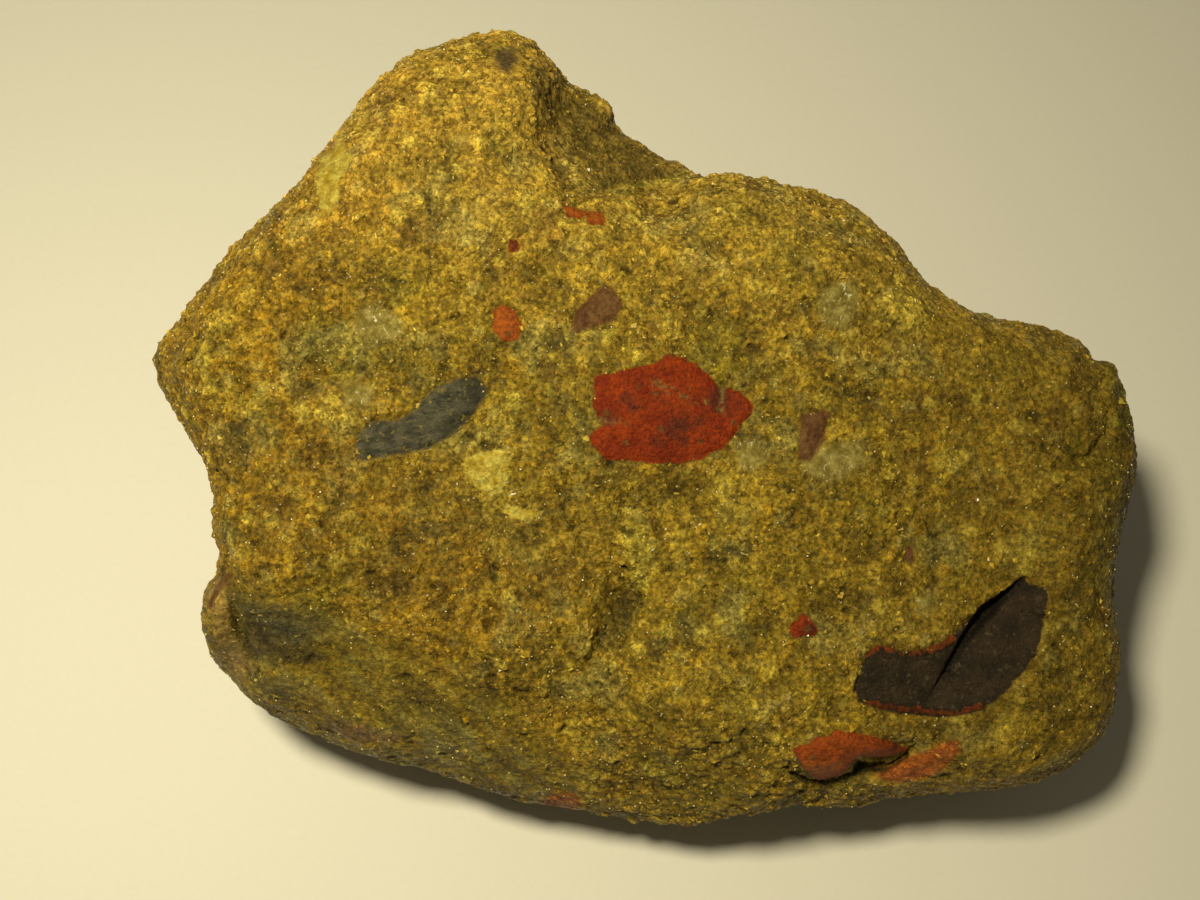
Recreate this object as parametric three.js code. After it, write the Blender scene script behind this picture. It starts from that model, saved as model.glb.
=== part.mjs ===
// A puddingstone: one hand-sized lump of pebbly sandstone with a broad face, bevelled sides,
// a worn peak at one end and a small flat spot underneath that it rests on. It is one solid.
//
// Millimetres, +Z up. The stone is shaped in the frame of its broad face: u runs along the
// stone's length, v up the face, and w out of the face. The face is then leaned back by
// LEAN_DEG, as the stone lies at rest, and the origin is put under the middle of its box.
//
// The surface is where form(p) is zero: a smooth meeting of flat facets and of a flaring wall
// round the outline, with dents, ledges and cracks added as depths. A geodesic grid of
// directions is laid on that surface and made finer where the surface has small forms.

import * as THREE from 'three';
import { ImprovedNoise } from 'three/addons/math/ImprovedNoise.js';
import { mergeVertices } from 'three/addons/utils/BufferGeometryUtils.js';

// Driving dimensions, in millimetres and degrees.
const LEAN_DEG = 24; // the broad face leans back by this much from lying level
const REST_DEPTH = 32; // from the middle of the outline's plane down to the resting flat
const EYE_HEIGHT = 300; // the wall flares from an apex this far above the outline's plane
const WALL_FOOT = -4; // the wall draws in below this height
const WALL_TAPER = 0.36; // how fast the wall draws in below its foot
const RIDGE_BLEND = 5; // how widely neighbouring facets are rounded into each other
const RIM_BLEND = 7; // how widely the facets are rounded into the wall
const OUTSET = 0.15; // makes up for what the rounding takes off the outline
const WALL_CALM = 0.3; // share of the lumps that is left on the wall
const GRID_CENTRE = [-1, -2, -12]; // where the grid's directions start, in the face's frame
const GRID_DETAIL = 16; // divisions of the icosahedron that the grid starts from
const FACE_EDGE = 4.2; // longest triangle edge on the broad face
const BACK_EDGE = 5.6; // longest triangle edge elsewhere
const SPLIT_PASSES = 3; // how often long edges are split
const RELAX_STEPS = 5; // how often the grid is evened out

// The outline of the stone, seen square on to the broad face, anticlockwise from the peak.
const OUTLINE = [
  [-14.7, 50.9], [-18.4, 50.3], [-24.3, 48.1], [-28.2, 43.9], [-30.8, 40.2], [-35.2, 35.2],
  [-36.8, 32.4], [-42.0, 27.7], [-47.0, 22.2], [-50.9, 16.3], [-54.0, 12.9], [-54.6, 10.4],
  [-53.5, 7.9], [-50.9, 2.8], [-48.5, -1.8], [-47.2, -8.0], [-46.7, -13.0], [-47.5, -17.5],
  [-48.3, -22.1], [-48.1, -24.3], [-45.4, -27.6], [-41.7, -31.7], [-34.7, -35.3],
  [-28.5, -37.8], [-22.6, -39.3], [-14.4, -41.8], [-6.1, -43.6], [0.9, -45.2], [9.8, -46.0],
  [15.0, -45.3], [22.7, -44.0], [32.9, -43.2], [39.1, -42.0], [45.2, -41.5], [50.9, -41.1],
  [56.8, -38.7], [62.2, -34.8], [63.7, -29.2], [63.7, -24.3], [62.9, -19.6], [63.1, -15.6],
  [63.9, -9.6], [65.3, -3.7], [65.4, 0.0], [64.9, 5.5], [63.3, 10.1], [60.2, 11.8],
  [56.8, 13.7], [52.4, 15.6], [49.6, 15.6], [42.8, 18.2], [40.9, 19.8], [38.5, 22.1],
  [37.3, 24.2], [34.6, 27.0], [29.8, 30.3], [24.5, 32.1], [15.8, 33.6], [11.0, 34.2],
  [8.0, 35.6], [2.0, 40.2], [-0.2, 43.3], [-2.0, 43.6], [-4.8, 45.8], [-8.2, 49.9],
  [-11.3, 50.9],
];
const OUTLINE_STEPS = 200; // chords that the outline's curve is cut into

// Flat facets of the upper side: a point on each in the face's frame, and the way it faces.
const FACE_FACETS = {
  broad_face: { at: [-14, 0, 19.5], faces: [0.03, 0.02, 1] },
  right_slope: { at: [26, 0, 18.5], faces: [0.24, 0.05, 1] },
  right_corner: { at: [57, -31, 12], faces: [0.55, -0.3, 1] },
  lower_left_bevel: { at: [-26, -21.5, 19], faces: [-0.17, -0.8, 1] },
  lower_bevel: { at: [24, -36, 17], faces: [0.1, -0.8, 0.95] },
  left_bevel: { at: [-49, 10, 16], faces: [-0.8, 0.1, 0.75] },
  upper_left_bevel: { at: [-41, 29, 16], faces: [-0.55, 0.5, 0.8] },
  peak_roll: { at: [-14, 36, 18], faces: [0.05, 0.42, 1] },
  upper_right_bevel: { at: [24, 22, 17.5], faces: [0.35, 0.7, 0.9] },
};

// Flat facets of the underside, in the frame in which the stone lies, Z up, before its origin
// is moved under its box.
const UNDER_FACETS = {
  front_under: { at: [0, -44, -24], faces: [0.05, -0.58, -0.8] },
  front_left_under: { at: [-42, -30, -20], faces: [-0.55, -0.4, -0.75] },
  left_under: { at: [-47, 10, -12], faces: [-0.8, 0.1, -0.62] },
  right_under: { at: [60, -4, -18], faces: [0.8, -0.1, -0.62] },
  right_back_under: { at: [50, 27, -12], faces: [0.62, 0.6, -0.5] },
  back_wall: { at: [0, 45, -4], faces: [-0.05, 0.95, -0.36] },
  back_left_wall: { at: [-34, 36, 0], faces: [-0.55, 0.75, -0.32] },
  front_keel: { at: [0, -22, -32], faces: [0.04, -0.3, -0.95] },
  left_keel: { at: [-26, 0, -32], faces: [-0.28, 0.05, -0.95] },
  right_keel: { at: [32, 0, -32], faces: [0.26, -0.04, -0.95] },
  back_keel: { at: [0, 24, -32], faces: [-0.05, 0.34, -0.95] },
};

// Lumps of the sandstone: noise of each wavelength, and how far it moves the surface.
const LUMPS = [
  { wavelength: 34, height: 1.9, drift: 3.1 },
  { wavelength: 15, height: 1.1, drift: 17.7 },
  { wavelength: 7, height: 0.55, drift: 41.3 },
];
const HACKLE = { wavelength: 19, height: 1.2, drift: 77.9 }; // creases between fracture shells

// Hollows and swellings of the upper side: a line across the face, how wide and how deep.
// A negative depth stands proud.
const FACE_DENTS = {
  peak_scoop: { line: [[-3, 38], [6, 33]], width: 10, depth: 6.5 },
  scoop_shelf: { line: [[3, 31], [12, 32]], width: 4, depth: -1.2 },
  valley: { line: [[6, -10], [2, -20], [-3, -31]], width: 7, depth: 1.7 },
  valley_cleft: { line: [[3.6, -17], [1.4, -22], [0.2, -25.5]], width: 3.2, depth: 1.2 },
  crust_knob: { line: [[4.5, -11], [6, -13]], width: 4.4, depth: -1.6 },
  lower_lobe: { line: [[12, -30], [26, -34]], width: 12, depth: -1.6 },
  slate_hollow: { line: [[-42, -22], [-34, -25]], width: 6, depth: 1.4 },
  corner_groove: { line: [[-46.5, -13.5], [-44.6, -19], [-43.6, -26]], width: 4.5, depth: 1.1 },
  right_groove: { line: [[60, 10], [61.8, 4], [62, -1], [57.5, -2.6]], width: 3.2, depth: 1.1 },
  right_ledge: { line: [[56, -3.6], [61, -2.6]], width: 2.6, depth: -0.8 },
  quartz_lumps: { line: [[34, 20], [39, 17]], width: 6, depth: -0.9 },
  upper_bump: { line: [[21, 26], [31, 24]], width: 8, depth: -1.0 },
  left_dip: { line: [[-45, 4], [-41, -9]], width: 7, depth: 1.1 },
  jasper_slab: { line: [[26, -37.6], [33, -36.6]], width: 4, depth: -0.9 },
  middle_swell: { line: [[-14, 8], [2, 4]], width: 16, depth: -0.9 },
};

// The split shale pebble: a shallow recess, whose right half lies lower along the split.
const SHALE = {
  outline: [
    [31.5, -29.4], [32.9, -25.2], [34.4, -23.9], [37.4, -24.9], [40.5, -24.5], [43.6, -22.8],
    [47.2, -19.4], [51.8, -16.1], [55.0, -17.2], [54.5, -20.9], [53.5, -25.2], [49.7, -29.8],
    [46.6, -32.1], [41.7, -32.9], [35.6, -32.1], [31.9, -31.0],
  ],
  depth: 0.45,
  edge: 1.2,
};
const SHALE_LOW_HALF = {
  outline: [
    [52.2, -15.9], [48.6, -18.7], [45.0, -23.2], [42.4, -27.6], [40.5, -31.6], [46.6, -32.1],
    [49.7, -29.8], [53.5, -25.2], [55.0, -17.2],
  ],
  depth: 0.75,
  edge: 1.6,
};
const SPLIT = {
  line: [[52.0, -15.8], [48.8, -19.0], [45.4, -23.4], [42.8, -27.6], [40.9, -31.0]],
  width: 1.4,
  depth: 1.5,
};

// The cleft under the slab of jasper near the lower edge.
const JASPER_CLEFT = {
  line: [[23.2, -39.1], [26.3, -40.5], [29.4, -39.7], [32.1, -38.9], [36.4, -37.7], [38.6, -36.3]],
  width: 1.7,
  depth: 1.8,
};

// Where small forms need short edges: within this reach of each line, and how short.
const FINE_LINES = [
  { line: SPLIT.line, reach: 2.2, longest: 1.1 },
  { line: JASPER_CLEFT.line, reach: 2.4, longest: 1.2 },
  { line: FACE_DENTS.valley_cleft.line, reach: 3, longest: 1.9 },
  { line: FACE_DENTS.peak_scoop.line, reach: 11, longest: 2.8 },
  { line: FACE_DENTS.corner_groove.line, reach: 3, longest: 1.9 },
  { line: FACE_DENTS.right_groove.line, reach: 3, longest: 1.9 },
];
const FINE_SHALE_EDGE = { reach: 1.9, longest: 1.6 };

// Worn hollows of the underside and the back, in the frame in which the stone lies.
const UNDER_DENTS = {
  back_scoop: { at: [18, 40, 6], radius: 17, depth: 3.6 },
  back_scallop: { at: [-22, 36, -8], radius: 13, depth: 2.8 },
  left_scallop: { at: [-48, 6, -8], radius: 11, depth: 2.4 },
  right_scallop: { at: [58, 8, -4], radius: 12, depth: 2.6 },
  front_scallop: { at: [20, -36, -22], radius: 12, depth: 2.2 },
  base_hollow: { at: [-26, 20, -26], radius: 12, depth: 3.0 },
};

const noise = new ImprovedNoise();
const lean = THREE.MathUtils.degToRad(LEAN_DEG);
const toLying = new THREE.Matrix4().makeRotationX(lean);

// How far b stands over a, blended over a width of about k where the two are near.
function smoothMax(a, b, k) {
  const near = Math.max(k - Math.abs(a - b), 0) / k;
  return Math.max(a, b) + (near * near * k) / 4;
}

// One at 0 and nought from 1 on, with no corner at either end.
function fade(t) {
  const s = 1 - Math.min(Math.max(t, 0), 1);
  return s * s * (3 - 2 * s);
}

function squaredToSegment(u, v, a, b) {
  const du = b[0] - a[0];
  const dv = b[1] - a[1];
  const along = ((u - a[0]) * du + (v - a[1]) * dv) / (du * du + dv * dv);
  const t = Math.min(Math.max(along, 0), 1);
  const offU = u - a[0] - t * du;
  const offV = v - a[1] - t * dv;
  return offU * offU + offV * offV;
}

function distanceToLine(u, v, line) {
  let nearest = Infinity;
  for (let i = 1; i < line.length; i++) {
    nearest = Math.min(nearest, squaredToSegment(u, v, line[i - 1], line[i]));
  }
  return Math.sqrt(nearest);
}

// Distance to a closed outline, negative inside it.
function distanceToOutline(u, v, points) {
  let nearest = Infinity;
  let inside = false;
  for (let i = 0, j = points.length - 1; i < points.length; j = i++) {
    const a = points[i];
    const b = points[j];
    nearest = Math.min(nearest, squaredToSegment(u, v, b, a));
    if (a[1] > v !== b[1] > v && u < ((b[0] - a[0]) * (v - a[1])) / (b[1] - a[1]) + a[0]) {
      inside = !inside;
    }
  }
  return Math.sqrt(nearest) * (inside ? -1 : 1);
}

function closedCurve(points, steps) {
  const curve = new THREE.CatmullRomCurve3(
    points.map(([u, v]) => new THREE.Vector3(u, v, 0)), true, 'centripetal');
  return curve.getSpacedPoints(steps).slice(0, steps).map((p) => [p.x, p.y]);
}

const wallOutline = closedCurve(OUTLINE, OUTLINE_STEPS);

function facets(list) {
  return Object.values(list).map(({ at, faces }) => {
    const normal = new THREE.Vector3(...faces).normalize();
    return { normal, offset: normal.dot(new THREE.Vector3(...at)) };
  });
}

const faceFacets = facets(FACE_FACETS);
const underFacets = facets(UNDER_FACETS);
const faceDents = Object.values(FACE_DENTS);
const underDents = Object.values(UNDER_DENTS).map(
  (dent) => ({ ...dent, at: new THREE.Vector3(...dent.at) }));

function overFacets(p, list, start) {
  return list.reduce((far, f) => smoothMax(far, f.normal.dot(p) - f.offset, RIDGE_BLEND), start);
}

// The wall round the outline: it flares from the apex, and draws in below its foot.
function wall(p) {
  const flare = 1 - p.z / EYE_HEIGHT;
  const across = distanceToOutline(p.x / flare, p.y / flare, wallOutline) * flare;
  return across - OUTSET + WALL_TAPER * Math.max(0, WALL_FOOT - p.z);
}

// Height of the lumps. They are kept low on the wall near the outline's plane.
function lumps(p, across) {
  const calm = fade(Math.abs(across) / 9) * fade(Math.abs(p.z + 1) / 26);
  return allLumps(p) * (1 - (1 - WALL_CALM) * calm);
}

function allLumps(p) {
  let height = 0;
  for (const { wavelength, height: rise, drift } of LUMPS) {
    height += rise * noise.noise(p.x / wavelength + drift, p.y / wavelength, p.z / wavelength);
  }
  const { wavelength, height: rise, drift } = HACKLE;
  const shell = noise.noise(p.x / wavelength, p.y / wavelength + drift, p.z / wavelength);
  return height + rise * (Math.abs(shell) - 0.25);
}

function recess(u, v, { outline, depth, edge }) {
  const d = distanceToOutline(u, v, outline);
  return depth * fade((d + edge) / edge);
}

function crack(u, v, { line, width, depth }) {
  return depth * Math.max(0, 1 - distanceToLine(u, v, line) / width);
}

// Depth of the upper side's forms. They fade out towards the outline's plane.
function faceDepth(p) {
  const upper = 1 - fade((p.z - 1) / 8);
  if (upper === 0) return 0;
  const flare = 1 - p.z / EYE_HEIGHT;
  const u = p.x / flare;
  const v = p.y / flare;
  let depth = recess(u, v, SHALE) + recess(u, v, SHALE_LOW_HALF);
  depth += crack(u, v, SPLIT) + crack(u, v, JASPER_CLEFT);
  for (const dent of faceDents) {
    depth += dent.depth * fade(distanceToLine(u, v, dent.line) / dent.width);
  }
  return depth * upper;
}

function underDepth(q) {
  let depth = 0;
  for (const dent of underDents) depth += dent.depth * fade(q.distanceTo(dent.at) / dent.radius);
  return depth;
}

const FORMS_REACH = 8; // the lumps and dents are left out further than this from the block

// Roughly the distance from p to the surface, in the face's frame, negative inside the stone.
function form(p) {
  const q = p.clone().applyMatrix4(toLying);
  const faces = overFacets(p, faceFacets, -1e3);
  const under = overFacets(q, underFacets, -1e3);
  const across = wall(p);
  const sides = smoothMax(across, under, RIDGE_BLEND);
  const block = smoothMax(faces, sides, RIM_BLEND);
  const resting = -REST_DEPTH - q.z;
  if (Math.max(block, resting) > FORMS_REACH) return Math.max(block, resting) - FORMS_REACH / 2;
  return Math.max(block - lumps(p, across) + faceDepth(p) + underDepth(q), resting);
}

// The outermost point of the surface in a direction from the grid's centre.
const centre = new THREE.Vector3(...GRID_CENTRE);
const OUTSIDE = 90;
const NEAR_ENOUGH = 0.002;
const CAREFUL = 0.6; // form() can overstate the distance, so a step takes this share of it

function onSurface(direction) {
  let r = OUTSIDE;
  const p = new THREE.Vector3();
  for (let step = 0; step < 200; step++) {
    const d = form(p.copy(direction).multiplyScalar(r).add(centre));
    if (d < NEAR_ENOUGH) break;
    r -= Math.max(CAREFUL * d, NEAR_ENOUGH);
  }
  return p.clone();
}

function longestEdge(p) {
  if (p.z < 0) return BACK_EDGE;
  const flare = 1 - p.z / EYE_HEIGHT;
  const u = p.x / flare;
  const v = p.y / flare;
  let longest = FACE_EDGE;
  for (const fine of FINE_LINES) {
    if (distanceToLine(u, v, fine.line) < fine.reach) longest = Math.min(longest, fine.longest);
  }
  if (Math.abs(distanceToOutline(u, v, SHALE.outline)) < FINE_SHALE_EDGE.reach) {
    longest = Math.min(longest, FINE_SHALE_EDGE.longest);
  }
  return longest;
}

// Splits each triangle by the middles of its long edges. Two triangles that share an edge
// split it alike, so the surface stays closed.
function splitLongEdges(grid) {
  const middles = new Map();
  const middle = (a, b) => {
    const key = a < b ? `${a} ${b}` : `${b} ${a}`;
    if (!middles.has(key)) {
      const half = grid.points[a].clone().add(grid.points[b]).multiplyScalar(0.5);
      const long = grid.points[a].distanceTo(grid.points[b]) > longestEdge(half);
      middles.set(key, long ? grid.directions.length : null);
      if (long) {
        const direction = grid.directions[a].clone().add(grid.directions[b]).normalize();
        grid.directions.push(direction);
        grid.points.push(onSurface(direction));
      }
    }
    return middles.get(key);
  };
  const faces = [];
  for (let [a, b, c] of grid.faces) {
    let [ab, bc, ca] = [middle(a, b), middle(b, c), middle(c, a)];
    const split = [ab, bc, ca].filter((m) => m !== null).length;
    // Turned so that the whole edge of two, or the split edge of one, comes in its known place.
    while ((split === 2 && ca !== null) || (split === 1 && ab === null)) {
      [a, b, c, ab, bc, ca] = [b, c, a, bc, ca, ab];
    }
    if (split === 0) faces.push([a, b, c]);
    if (split === 1) faces.push([a, ab, c], [ab, b, c]);
    if (split === 2) faces.push([ab, b, bc], [a, ab, bc], [a, bc, c]);
    if (split === 3) faces.push([a, ab, ca], [ab, b, bc], [ca, bc, c], [ab, bc, ca]);
  }
  grid.faces = faces;
}

// Moves each direction half way to the mean of its neighbours', so that triangles even out.
function relax(grid) {
  const sums = grid.directions.map(() => new THREE.Vector3());
  const counts = new Array(sums.length).fill(0);
  for (const [a, b, c] of grid.faces) {
    for (const [from, to] of [[a, b], [b, c], [c, a]]) {
      sums[from].add(grid.directions[to]);
      counts[from] += 1;
    }
  }
  grid.directions.forEach((direction, i) => {
    direction.lerp(sums[i].divideScalar(counts[i]), 0.5).normalize();
    grid.points[i] = onSurface(direction);
  });
}

function stoneGrid() {
  const ball = new THREE.IcosahedronGeometry(1, GRID_DETAIL);
  ball.deleteAttribute('normal');
  ball.deleteAttribute('uv');
  const { attributes: { position }, index } = mergeVertices(ball);
  const grid = { directions: [], points: [], faces: [] };
  for (let i = 0; i < position.count; i++) {
    grid.directions.push(new THREE.Vector3().fromBufferAttribute(position, i).normalize());
    grid.points.push(onSurface(grid.directions[i]));
  }
  for (let i = 0; i < index.count; i += 3) {
    grid.faces.push([index.getX(i), index.getX(i + 1), index.getX(i + 2)]);
  }
  for (let pass = 0; pass < SPLIT_PASSES; pass++) splitLongEdges(grid);
  for (let step = 0; step < RELAX_STEPS; step++) relax(grid);
  return grid;
}

function stoneGeometry() {
  const grid = stoneGrid();
  const geometry = new THREE.BufferGeometry().setFromPoints(grid.points);
  geometry.setIndex(grid.faces.flat());
  geometry.applyMatrix4(toLying);
  return geometry;
}

function stoneMesh() {
  const geometry = stoneGeometry();
  const sandstone = new THREE.MeshStandardMaterial({ color: 0x8a6c22, roughness: 0.8, metalness: 0 });
  const mesh = new THREE.Mesh(geometry, sandstone);
  mesh.name = 'puddingstone';
  geometry.computeBoundingBox();
  const { min, max } = geometry.boundingBox;
  mesh.position.set(-(min.x + max.x) / 2, -(min.y + max.y) / 2, -min.z);
  return mesh;
}

const stone = new THREE.Group();
stone.add(stoneMesh());

export default stone;
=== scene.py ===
# Looks for the puddingstone: ochre cemented sand with pebbles of red jasper, grey slate,
# split dark shale, cream chert and grey quartz. Metres, Z up, in the part's own frame.
#
# The stone's solid is made finer, given its relief and covered with sand grains. The
# pebbles of the broad face are outlined in that face's plan: millimetres along the stone
# (U) and up the face (V), as seen from the eye that the outline was drawn for.

import math
from itertools import product

import bpy
import numpy as np
from mathutils import Matrix, Vector


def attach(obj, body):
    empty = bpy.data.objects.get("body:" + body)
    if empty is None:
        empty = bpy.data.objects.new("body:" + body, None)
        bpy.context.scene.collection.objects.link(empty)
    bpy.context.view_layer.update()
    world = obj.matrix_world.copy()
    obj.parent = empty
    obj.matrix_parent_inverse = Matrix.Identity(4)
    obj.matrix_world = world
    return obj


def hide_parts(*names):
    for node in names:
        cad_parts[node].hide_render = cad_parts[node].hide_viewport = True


MM = 0.001
TINY = 1e-12  # keeps a division from going by nought

# The broad face's frame, as in the part's source.
LEAN = math.radians(24)
AIM = Vector((-5.725, -3.544, 32.002)) * MM
EYE_HEIGHT = 300 * MM
U_AXIS = Vector((1, 0, 0))
V_AXIS = Vector((0, math.cos(LEAN), math.sin(LEAN)))
W_AXIS = Vector((0, -math.sin(LEAN), math.cos(LEAN)))

# Pebbles and stains of the broad face, as outlines in its plan, in millimetres.
SHALE = [
    (31.5, -29.4), (32.9, -25.2), (34.4, -23.9), (37.4, -24.9), (40.5, -24.5), (43.6, -22.8),
    (47.2, -19.4), (51.8, -16.1), (55, -17.2), (54.5, -20.9), (53.5, -25.2), (49.7, -29.8),
    (46.6, -32.1), (41.7, -32.9), (35.6, -32.1), (31.9, -31),
]
SHALE_SPLIT = [
    (52.8, -15.3), (47.5, -18.8), (44.4, -22.9), (42.1, -27.3), (39.9, -31.3), (42.6, -27.8),
    (45.3, -23.7), (48.8, -20),
]
SHALE_EDGE_CRACK = [(31.5, -29.6), (32, -27.4), (32.9, -25.2)]
SHALE_TOP_RIM = [(33.1, -25.2), (34.4, -24.2), (37.4, -25.2), (40.5, -24.8), (43.6, -23.2)]
SHALE_LOW_RIM = [(32.9, -31.2), (35.6, -31.5), (39.3, -32), (42.9, -32.3), (46.9, -31.4)]
JASPER = [
    (-0.9, 7.2), (-0.6, 9), (0.1, 9.3), (2.1, 9.6), (3.3, 10.1), (4.9, 10.3), (6.7, 10.7),
    (8.1, 11.7), (9.2, 11.9), (10.6, 11.3), (12, 10.8), (13.1, 9.7), (14.1, 8.6), (15, 7.7),
    (16.7, 7.5), (18, 6.6), (18.9, 5.5), (18.5, 4.2), (17.4, 3.1), (16.7, 2.3), (16.1, 1.2),
    (15.2, 0.1), (13.5, -0.5), (12.5, -1.2), (10.9, -1.6), (5.6, -1.6), (2.6, -1.5), (0.7, -1.1),
    (-0.4, -0.1), (-1.1, 0.9), (-1.1, 2), (-0.4, 2.7), (0.7, 3.2), (-0.2, 3.9), (-0.4, 4.5),
    (-0.9, 5.8),
]
JASPER_VEINS = [
    [(-0.2, 3.6), (0.7, 3.7), (2.4, 3.7)],
    [(6.7, 8.2), (8.8, 7.2), (11, 6.1), (13.2, 5.6)],
    [(15, 7.9), (15, 6.4), (14.8, 4.9)],
]
SLATE = [
    (-30.1, 0.7), (-29.3, 2.5), (-27.1, 3.7), (-24.7, 3.8), (-22.7, 5), (-20.7, 7.4), (-17.8, 8.6),
    (-15.2, 9), (-13.7, 7.4), (-14.8, 5.4), (-16.4, 3.4), (-18.9, 1.3), (-21.2, 0), (-24, -0.4),
    (-27.1, -0.9), (-29.2, -1.3), (-30.2, -0.6),
]
RED_OVAL = [
    (-13.1, 17.3), (-11.8, 17.9), (-10.2, 16.8), (-9.6, 15.2), (-10.2, 13.6), (-11.8, 13.4),
    (-13.1, 14.6),
]
RED_TRIANGLE = [
    (23.1, -22.1), (24.9, -20.1), (26.9, -21.8), (26.6, -22.7), (24.7, -23.1), (23.3, -22.7),
]
RED_FLECKS = [
    [(-4.7, 30.7), (-2.5, 30), (-1.4, 29.2), (-2.5, 28.6), (-3.9, 28.9)],
    [(-1.6, 29.8), (0.6, 29.5), (0.5, 27.9), (-1.3, 28)],
    [(-11.4, 25.9), (-10, 25.9), (-9.7, 24.4), (-11.2, 24.1)],
]
MAUVE_WEDGE = [
    (-3.8, 14.6), (-2.8, 17.5), (0.7, 20.5), (2.7, 18.3), (2, 16.2), (-0.5, 15.2), (-2.5, 14.5),
]
PURPLE_WEDGE = [
    (24.8, 4.3), (27.9, 4.9), (28.3, 3.9), (27.5, 1.3), (26, -1.2), (24.5, -1.3), (24.4, 1),
]
SMALL_MAUVE = [(37.6, -11.8), (38.4, -11.6), (38.8, -13.4), (38.2, -14.2), (37.5, -13.2)]
MAUVE_BAND = [
    (-32.8, -33.6), (-29.4, -33.4), (-24.2, -35), (-24.5, -36.1), (-29.4, -36), (-32.5, -35.3),
]
PEAK_SPOT = [(-13.3, 49.6), (-10.5, 49.5), (-9.8, 47.8), (-11.2, 46), (-12.9, 46.9)]
CREAM_LUMP = [
    (-16.8, -1), (-13.7, -0.1), (-11.3, 0), (-11.2, -2.1), (-11.3, -3.8), (-12, -5.3),
    (-13.5, -5.6), (-15.3, -4.6), (-16.6, -2.9),
]
CREAM_SLIVER = [(-13, -6.6), (-10.2, -7), (-7.1, -7.6), (-8.7, -8.6), (-11, -8.3)]
CREAM_EDGE = [
    (-31.8, 37.7), (-30.2, 35.6), (-31.8, 33.3), (-32.1, 30.8), (-33.3, 29), (-34.5, 29.7),
    (-34.8, 32.4), (-34.1, 36),
]
SLAB = [
    (23.7, -36.8), (26.6, -35.2), (29.3, -34.6), (33.3, -35.2), (37.2, -36.3), (38.4, -36.8),
    (35.2, -37.9), (31.8, -37.8), (29.3, -39.5), (26.6, -40.2), (25, -38.7),
]
SLAB_LIP = [(23.9, -37.5), (25.8, -40), (28.5, -39.7), (30.7, -38.8), (29.5, -37.9), (26.5, -38.3)]
SLAB_CLEFT = [
    (23.2, -39.2), (25.8, -40.6), (28.5, -40.3), (30.7, -39.5), (31.7, -38.2), (32.9, -38.5),
    (35.3, -38.8), (37.2, -37.6), (38.5, -36.3), (37.5, -38.2), (35.3, -39.4), (32.9, -39.8),
    (30.7, -40.1), (28.2, -40.8), (25.5, -41.1), (23.3, -39.8),
]
SLAB_TAIL = [
    (32.9, -40.2), (37.2, -37.5), (43.8, -35.6), (44.3, -36.8), (42.7, -38.7), (40.4, -40.2),
    (36.4, -40.9),
]
LOW_RED = [(-7.4, -43.4), (-5.8, -42.1), (-2.6, -41.8), (-2.2, -43.4), (-3.4, -44.2)]
LOBE_STREAK = [(-48.2, -19.1), (-47.4, -16.9), (-46.6, -15.2)]
SLATE_HOLLOW = [
    (-45.2, -18), (-41.5, -18.2), (-36.8, -19.1), (-33.1, -20.9), (-34.1, -23.3), (-38, -25.2),
    (-42.3, -26), (-44.4, -23.3),
]
HOLLOW_CORE = [
    (-43.8, -19.6), (-41.5, -20.6), (-38.7, -23.3), (-33.7, -25.2), (-34.6, -27.2), (-39.3, -26.7),
    (-42.7, -25.2), (-44.2, -22.7),
]
GREEN_PATCH = [(-22.2, -34), (-19.6, -34.4), (-18.3, -36.2), (-19.6, -37.9), (-21.6, -37.1)]
FLANK = [
    (-9, 47.4), (-5.2, 46.2), (-1.5, 43.8), (1.9, 40.2), (7.4, 36.2), (10.1, 34.2), (6.7, 32),
    (0.9, 31.3), (-3.1, 34.7), (-6.9, 39.6), (-8.5, 44),
]
PALE_PATCH = [(-3.7, -39.3), (-1.2, -39), (0.5, -40.2), (0, -42.9), (-1.8, -43.7), (-2.7, -41.7)]
DENT = [(3.5, -18.7), (1.1, -22.8)]
SHELF = [(1.2, 31.7), (4.9, 32.4), (9.8, 33.4)]
SHELF_GROOVE = [(0.2, 32.6), (4, 33.2), (8, 34)]
# The slate's lower right end, which gets painted shade.
SLATE_END = [*SLATE[6:12], (-19.6, 2.5), (-16.9, 5.5), (-16, 7.1)]
BACK_LOBE = [
    (60.5, 11.7), (62.7, 9.4), (61.5, 7.7), (62.9, 5), (62.9, 2.3), (66, 2.5), (66, 8.6),
    (63.2, 12),
]
BACK_LOBE_GROOVE = [
    (60.5, 11.7), (62.5, 9.4), (61.5, 7.7), (62.7, 5), (62.6, 2.3), (60.2, -1), (58.7, -1.2),
]
QUARTZ = [
    [(-30.1, 16.9), (-27, 17.8), (-24.5, 15.7), (-25, 13.3), (-28, 12.8), (-29.9, 14.5)],
    [(-31.8, 8.1), (-29.4, 8.6), (-27.9, 6.9), (-28.7, 5.3), (-31.2, 5.5)],
    [(16.9, 1.2), (19.6, 1.5), (20.1, -1.2), (18.7, -2.7), (16.9, -1.7)],
    [(24.5, -1.5), (28.2, 1), (31.9, 1.2), (33.4, -1.2), (30.1, -3.7), (26, -3.7)],
    [(39, -18.2), (40.7, -17.4), (41.8, -18.7), (41, -19.9), (39.4, -19.6)],
    [(27, 19.4), (30.7, 20.9), (32.1, 18.4), (30.7, 14.7), (27.7, 15.2)],
]
CRUST_KNOB = [
    (2.9, -9.1), (4.9, -8.8), (7.9, -11), (7.4, -12.9), (6.4, -14.1), (5.5, -17.2), (3.7, -16.6),
    (3.2, -13.5),
]
KNOB_CREASE = [(3.1, -6.7), (2.2, -11), (1.5, -16)]
HOLES = [[(15.7, -29.8), (17.4, -29.9)], [(40.5, 9.4), (41, 9.2)]]
YELLOW_SPOT = [(45.3, 6.8), (46.8, 6.7), (46.7, 5.4), (45.4, 5.5)]
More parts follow.
